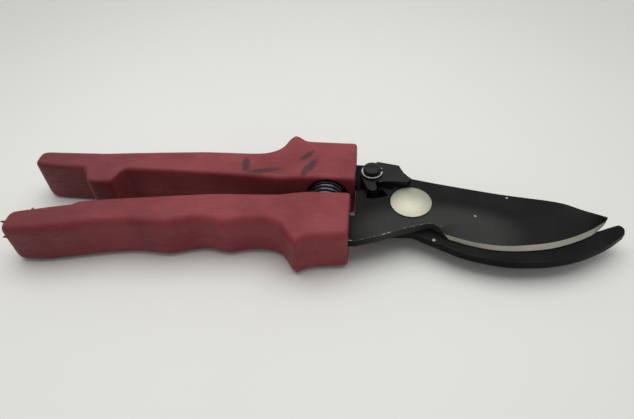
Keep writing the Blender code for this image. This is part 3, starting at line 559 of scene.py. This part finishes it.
class SHEARS_OT_stage(bpy.types.Operator):
    """Lay the table top, hang the lamp and set up the camera"""

    bl_idname = "shears.stage"
    bl_label = "Stage"

    def execute(self, context):
        stage = context.scene.shears_stage
        bm = bmesh.new()
        bmesh.ops.create_grid(bm, x_segments=8, y_segments=8, size=TABLE_REACH)
        mesh = bpy.data.meshes.new("table_top")
        bm.to_mesh(mesh)
        bm.free()
        mesh.materials.append(laminate("melamine_pressed", stage))
        table = bpy.data.objects.new("table_top", mesh)
        context.scene.collection.objects.link(table)

        world = bpy.data.worlds.new("soft_daylight")
        world.use_nodes = True
        tree = world.node_tree
        tree.nodes.clear()
        around = add_node(tree, "ShaderNodeTexCoord").outputs["Generated"]
        axes = add_node(tree, "ShaderNodeSeparateXYZ", vector=around)
        # The room is darker on the near side than on the window's side.
        strength = add_node(
            tree, "ShaderNodeMapRange", SMOOTH, value=axes.outputs["Y"], from_min=-0.6, from_max=0.8,
            to_min=stage.sky_strength * NEAR_SIDE_SHARE, to_max=stage.sky_strength,
        )
        sky = add_node(tree, "ShaderNodeBackground", color=linear(SKY_COLOUR), strength=strength)
        add_node(tree, "ShaderNodeOutputWorld", surface=sky)
        context.scene.world = world

        lamp = bpy.data.lights.new("window_lamp", "AREA")
        lamp.shape = "RECTANGLE"
        lamp.size, lamp.size_y = LAMP_SIZE
        lamp.energy = stage.lamp_power
        lamp.color = LAMP_COLOUR
        holder = bpy.data.objects.new("window_lamp", lamp)
        holder.location = LAMP_PLACE
        holder.rotation_euler = (-LAMP_PLACE).to_track_quat("-Z", "Y").to_euler()
        context.scene.collection.objects.link(holder)

        camera = bpy.data.cameras.new("camera")
        camera.lens = CAMERA_LENS
        camera.sensor_width = CAMERA_SENSOR
        camera.clip_start = CAMERA_NEAREST
        eye = bpy.data.objects.new("camera", camera)
        eye.location = CAMERA_PLACE
        eye.rotation_euler = [math.radians(angle) for angle in CAMERA_TURN]
        context.scene.collection.objects.link(eye)
        context.scene.camera = eye
        context.scene.view_settings.view_transform = "Standard"
        return {"FINISHED"}


# The rounds of smoothing that ease a grip's corners, the two sizes of hollow that sink into its skin, the
# weight of the narrow ones, and how sharply the hollows go from none to their full depth
EASING_ROUNDS = 7
WIDE_HOLLOW = 9 * MM
NARROW_HOLLOW = 3.5 * MM
NARROW_SHARE = 0.5
HOLLOW_CONTRAST = 0.6

# Scraps of flash: a place from the pivot in mm, the way that it points in degrees, then its length and its
# half width in mm
FLASH_SCRAPS = (
    ((-136.0, -19.0, 6.2), 176, 2.0, 1.4),
    ((-129.0, -9.0, 7.4), 98, 1.2, 1.2),
    ((-136.0, -24.0, 4.2), 190, 1.0, 0.8),
)
# The grip's skin is looked for from this far outside each scrap. A scrap narrows to the tip's radius, is
# flattened to a share of its width, and is torn by noise of this size and depth.
FLASH_SEARCH = 20 * MM
FLASH_TIP = 0.25 * MM
FLASH_FLATNESS = 0.35
TEAR_SIZE = 0.9 * MM
TEAR_DEPTH = 0.16 * MM
TEAR_SEED = 3

# The oval: where it sits on the wall, its turn in degrees, its radius and the radius of its bead, and how far
# the ring is stretched up the wall and the bead is flattened
OVAL_PLACE = (PIVOT.x - 27.0 * MM, PIVOT.y - 21.12 * MM, PIVOT.z + 0.4 * MM)
OVAL_TURN = 7
OVAL_RADIUS = 3.6 * MM
OVAL_BEAD = 0.3 * MM
OVAL_STRETCH = (1, 1.25, 0.7, 1)


def moulded_grip(name, node, body, material, step, lumpiness):
    """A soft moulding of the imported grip: an even skin, its corners eased and its walls a little sunken."""
    bm = joined_copy(node)
    rough = bpy.data.meshes.new(name + "_rough")
    bm.to_mesh(rough)
    bm.free()
    helper = bpy.data.objects.new(name + "_rough", rough)
    bpy.context.scene.collection.objects.link(helper)
    skin = helper.modifiers.new("skin", "REMESH")
    skin.mode = "VOXEL"
    skin.voxel_size = step
    graph = bpy.context.evaluated_depsgraph_get()
    made = bpy.data.meshes.new_from_object(helper.evaluated_get(graph))
    bpy.data.objects.remove(helper)
    bm = bmesh.new()
    bm.from_mesh(made)
    bpy.data.meshes.remove(made)
    for _ in range(EASING_ROUNDS):
        bmesh.ops.smooth_vert(
            bm, verts=bm.verts[:], factor=0.5, use_axis_x=True, use_axis_y=True, use_axis_z=True
        )
    bm.normal_update()
    for vert in bm.verts:
        wave = noise.noise(vert.co / WIDE_HOLLOW) + NARROW_SHARE * noise.noise(vert.co / NARROW_HOLLOW)
        vert.co -= vert.normal * lumpiness * max(0.0, min(1.0, 0.5 + HOLLOW_CONTRAST * wave))
    return place_piece(name, bm, [material], body, [node], sharp_angle=180)


class SHEARS_OT_grips(bpy.types.Operator):
    """Mould both grips, with the flash left at the blade grip's rear and the oval pad on its side"""

    bl_idname = "shears.grips"
    bl_label = "Grips"

    def execute(self, context):
        grips = context.scene.shears_grips
        upper = moulded_pvc("pvc_moulded_smeared", grips, smeared=True)
        lower = moulded_pvc("pvc_moulded", grips, smeared=False)
        moulded_grip("hook_grip_moulding", "hook_grip", "hook_half", upper, grips.mesh_step, grips.lumpiness)
        lower_grip = moulded_grip(
            "blade_grip_moulding", "blade_grip", "blade_half", lower, grips.mesh_step, grips.lumpiness
        )
        self.add_flash(lower_grip, lower)
        self.add_oval(lower)
        return {"FINISHED"}

    def add_flash(self, grip, material):
        """Torn scraps of flash, left standing on the rear end of the grip."""
        skin = bmesh.new()
        skin.from_mesh(grip.data)
        surface = BVHTree.FromBMesh(skin)
        skin.free()
        bm = bmesh.new()
        for place, turn, length, width in FLASH_SCRAPS:
            outward = Matrix.Rotation(math.radians(turn), 4, "Z")
            aim = outward @ Vector((-1, 0, 0))
            spot = surface.ray_cast(PIVOT + Vector(place) * MM - aim * FLASH_SEARCH, aim)[0]
            if spot is None:
                raise RuntimeError("a scrap of flash has no grip behind it")
            reach = Matrix.Translation(spot) @ outward @ Matrix.Rotation(math.radians(90), 4, "Y")
            # Half of each cone is sunk into the grip.
            bmesh.ops.create_cone(
                bm, cap_ends=True, segments=10, radius1=width * MM, radius2=FLASH_TIP, depth=2 * length * MM,
                matrix=reach @ Matrix.Diagonal((FLASH_FLATNESS, 1, 1, 1)),
            )
        # Without a seed, noise_vector is different each time that Blender starts.
        noise.seed_set(TEAR_SEED)
        for vert in bm.verts:
            vert.co += noise.noise_vector(vert.co / TEAR_SIZE) * TEAR_DEPTH
        bmesh.ops.recalc_face_normals(bm, faces=bm.faces[:])
        place_piece("blade_grip_flash", bm, [material], "blade_half")

    def add_oval(self, material):
        """A plain raised oval on the grip's outer side, near its front."""
        bm = bmesh.new()
        bmesh.ops.create_circle(
            bm, cap_ends=False, segments=10, radius=OVAL_BEAD,
            matrix=Matrix.Translation((OVAL_RADIUS, 0, 0)) @ Matrix.Rotation(math.radians(90), 4, "X"),
        )
        bmesh.ops.spin(
            bm, geom=bm.edges[:], cent=(0, 0, 0), axis=(0, 0, 1), dvec=(0, 0, 0),
            angle=2 * math.pi, steps=56, use_merge=True, use_duplicate=False,
        )
        bmesh.ops.remove_doubles(bm, verts=bm.verts[:], dist=MERGE_DISTANCE)
        wall = Matrix.Translation(OVAL_PLACE)
        wall @= Matrix.Rotation(math.radians(OVAL_TURN), 4, "Z") @ Matrix.Rotation(math.radians(90), 4, "X")
        wall @= Matrix.Diagonal(OVAL_STRETCH)
        bmesh.ops.transform(bm, matrix=wall, verts=bm.verts[:])
        bmesh.ops.recalc_face_normals(bm, faces=bm.faces[:])
        place_piece("blade_grip_oval", bm, [material], "blade_half")


class SHEARS_OT_hook(bpy.types.Operator):
    """Finish the stamped hook, with its rolled edges rubbed bare in places"""

    bl_idname = "shears.hook"
    bl_label = "Hook"

    def execute(self, context):
        steel = context.scene.shears_steel
        materials = [
            stove_enamel("steel_stove_enamelled", steel, bare_share=0.05, lighter_patch_share=0.1, gloss=0.05),
            stove_enamel("steel_rubbed_edge", steel, bare_share=0.42, lighter_patch_share=0.3, gloss=0.1),
        ]
        rolled_piece(
            "hook_finished", "hook_plate", materials, "hook_half", steel.edge_rounding
        )
        return {"FINISHED"}


# The ground faces start this far ahead of the pivot and stay this low on the blade, and none of them faces
# down steeply.
GRIND_START = 11.5 * MM
GRIND_HEIGHT = 1.5 * MM
GRIND_LEAST_UP = -0.5

# The notch for the latch keeps its stamped edges. Its middle is this far from the rivet, and it reaches this
# far from its middle.
NOTCH_FROM_RIVET = 8 * MM
NOTCH_REACH = 7.5 * MM

# The blade's edges take this share of the hook's edge radius.
BLADE_EDGE_SHARE = 0.6


class SHEARS_OT_blade(bpy.types.Operator):
    """Finish the blade, with its bright ground bevel"""

    bl_idname = "shears.blade"
    bl_label = "Blade"

    def execute(self, context):
        steel = context.scene.shears_steel
        bm = joined_copy("blade_plate")
        ground = [face for face in bm.faces if self.is_ground(face)]
        for face in ground:
            face.material_index = 2
        ground_edges = {edge for face in ground for edge in face.edges}
        notch = Vector((RIVET.x, RIVET.y - NOTCH_FROM_RIVET))

        def left_sharp(edge):
            middle = (edge.verts[0].co + edge.verts[1].co) / 2
            return edge in ground_edges or (middle.xy - notch).length < NOTCH_REACH

        round_edges(bm, BLADE_EDGE_SHARE * steel.edge_rounding, left_alone=left_sharp)
        materials = [
            stove_enamel("blade_stove_enamelled", steel, bare_share=0.03, lighter_patch_share=1.0, gloss=0.08),
            # The blade's rolled edges are painted mostly bare steel: partly real wear, partly a painted
            # highlight along the plate's edges.
            stove_enamel("blade_rubbed_edge", steel, bare_share=0.86, lighter_patch_share=1.0, gloss=0.4),
            ground_steel("carbon_steel_ground", steel),
        ]
        # The small angle keeps a crisp line along the top of the grind.
        place_piece(
            "blade_finished", bm, materials, "blade_half", ["blade_plate"], sharp_angle=9
        )
        return {"FINISHED"}

    def is_ground(self, face):
        """Whether this face is one of the bevel's, low on the cutting side ahead of the pivot."""
        middle = face.calc_center_median()
        height = max(vert.co.z - BLADE_FOOT for vert in face.verts)
        ahead = middle.x > PIVOT.x + GRIND_START and middle.y < PIVOT.y
        return ahead and height < GRIND_HEIGHT and face.normal.z > GRIND_LEAST_UP


# The edge radii of the small pieces. The flat washer takes the nut's.
NUT_ROUNDING = 0.18 * MM
LOCK_WASHER_ROUNDING = 0.1 * MM
LEVER_ROUNDING = 0.25 * MM
SPACER_ROUNDING = 0.15 * MM
LATCH_WASHER_ROUNDING = 0.2 * MM


class SHEARS_OT_pivot(bpy.types.Operator):
    """Plate the domed pivot bolt in nickel, and finish its washers and nut"""

    bl_idname = "shears.pivot"
    bl_label = "Pivot"

    def execute(self, context):
        steel = context.scene.shears_steel
        nickel = satin_nickel("steel_nickel_plated", steel)
        place_piece(
            "pivot_bolt_plated", joined_copy("pivot_bolt"), [nickel], "hook_half",
            ["pivot_bolt"], sharp_angle=30,
        )
        zinc = zinc_plate("steel_zinc_plated", steel)
        for node in ("pivot_flat_washer", "pivot_nut"):
            rolled_piece(node + "_plated", node, [zinc, zinc], "hook_half", NUT_ROUNDING)
        wire = blackened_wire("washer_wire_blackened", steel)
        rolled_piece(
            "pivot_lock_washer_sprung", "pivot_lock_washer", [wire, wire], "hook_half",
            LOCK_WASHER_ROUNDING,
        )
        return {"FINISHED"}


class SHEARS_OT_latch(bpy.types.Operator):
    """Finish the thumb latch with its rivet, bright spring washer and spacer"""

    bl_idname = "shears.latch"
    bl_label = "Latch"

    def execute(self, context):
        steel = context.scene.shears_steel
        coat = stove_enamel("latch_stove_enamelled", steel, bare_share=0.05, lighter_patch_share=0.8, gloss=0.2)
        edge = stove_enamel("latch_rubbed_edge", steel, bare_share=0.4, lighter_patch_share=0.7, gloss=0.16)
        rolled_piece(
            "latch_lever_finished", "latch_lever", [coat, edge], "latch", LEVER_ROUNDING
        )
        place_piece(
            "latch_rivet_peened", joined_copy("latch_rivet"), [coat], "hook_half",
            ["latch_rivet"], sharp_angle=30,
        )
        rolled_piece(
            "latch_spacer_finished", "latch_spacer", [coat, edge], "hook_half", SPACER_ROUNDING
        )
        zinc = zinc_plate("washer_zinc_plated", steel)
        rolled_piece(
            "latch_washer_plated", "latch_spring_washer", [zinc, zinc], "hook_half",
            LATCH_WASHER_ROUNDING,
        )
        return {"FINISHED"}


# The faces round the spring's wire, the steps in one of its turns, and the gap between its closed turns
WIRE_SIDES = 14
TURN_STEPS = 44
CLOSED_TURN_GAP = 0.12 * MM


class SHEARS_OT_spring(bpy.types.Operator):
    """Wind the opening spring that sits between the grips"""

    bl_idname = "shears.spring"
    bl_label = "Opening spring"

    def execute(self, context):
        steel = context.scene.shears_steel
        wire = steel.wire_radius
        centre = (SPRING_LOW + SPRING_HIGH) / 2
        coil = (SPRING_HIGH.x - SPRING_LOW.x) / 2 - wire
        foot, top = SPRING_LOW.y + wire, SPRING_HIGH.y - wire
        closed = 2 * wire + CLOSED_TURN_GAP
        bm = bmesh.new()
        bmesh.ops.create_circle(
            bm, cap_ends=False, segments=WIRE_SIDES, radius=wire,
            matrix=Matrix.Translation((centre.x + coil, foot, centre.z)),
        )
        last = bm.verts[:] + bm.edges[:]
        # A closed turn stands at each end, with the open turns between them.
        for turns, rise in ((1, closed), (steel.active_turns, top - foot - 2 * closed), (1, closed)):
            steps = turns * TURN_STEPS
            last = bmesh.ops.spin(
                bm, geom=last, cent=centre, axis=(0, 1, 0), dvec=(0, rise / steps, 0),
                angle=-2 * math.pi * turns, steps=steps, use_merge=False, use_duplicate=False,
            )["geom_last"]
        bmesh.ops.holes_fill(bm, edges=[edge for edge in bm.edges if edge.is_boundary], sides=0)
        bmesh.ops.recalc_face_normals(bm, faces=bm.faces[:])
        black = blackened_wire("spring_wire_blackened", steel)
        spring = place_piece(
            "opening_spring_wound", bm, [black], None, ["coil_spring"], sharp_angle=50
        )
        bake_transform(spring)
        return {"FINISHED"}


class SHEARS_PT_panel(bpy.types.Panel):
    """Lists the shears' pieces and the stage"""

    bl_label = "Pruning Shears"
    bl_idname = "SHEARS_PT_panel"
    bl_space_type = "VIEW_3D"
    bl_region_type = "UI"
    bl_category = "Shears"

    def draw(self, context):
        for key in SETTINGS:
            group = getattr(context.scene, key)
            box = self.layout.box()
            for name in group.__annotations__:
                box.prop(group, name)
        for operator in OPERATORS:
            self.layout.operator(operator.bl_idname)


SETTINGS = {
    "shears_grips": ShearsGripSettings,
    "shears_steel": ShearsSteelSettings,
    "shears_stage": ShearsStageSettings,
}
OPERATORS = (
    SHEARS_OT_stage,
    SHEARS_OT_grips,
    SHEARS_OT_hook,
    SHEARS_OT_blade,
    SHEARS_OT_pivot,
    SHEARS_OT_latch,
    SHEARS_OT_spring,
)


def register():
    for group in (*SETTINGS.values(), *OPERATORS, SHEARS_PT_panel):
        bpy.utils.register_class(group)
    for name, group in SETTINGS.items():
        setattr(bpy.types.Scene, name, PointerProperty(type=group))


def unregister():
    for name in SETTINGS:
        delattr(bpy.types.Scene, name)
    for group in reversed((*SETTINGS.values(), *OPERATORS, SHEARS_PT_panel)):
        bpy.utils.unregister_class(group)


def main():
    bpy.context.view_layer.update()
    register()
    bpy.ops.shears.stage()
    bpy.ops.shears.grips()
    bpy.ops.shears.hook()
    bpy.ops.shears.blade()
    bpy.ops.shears.pivot()
    bpy.ops.shears.latch()
    bpy.ops.shears.spring()


if __name__ == "__main__":
    main()
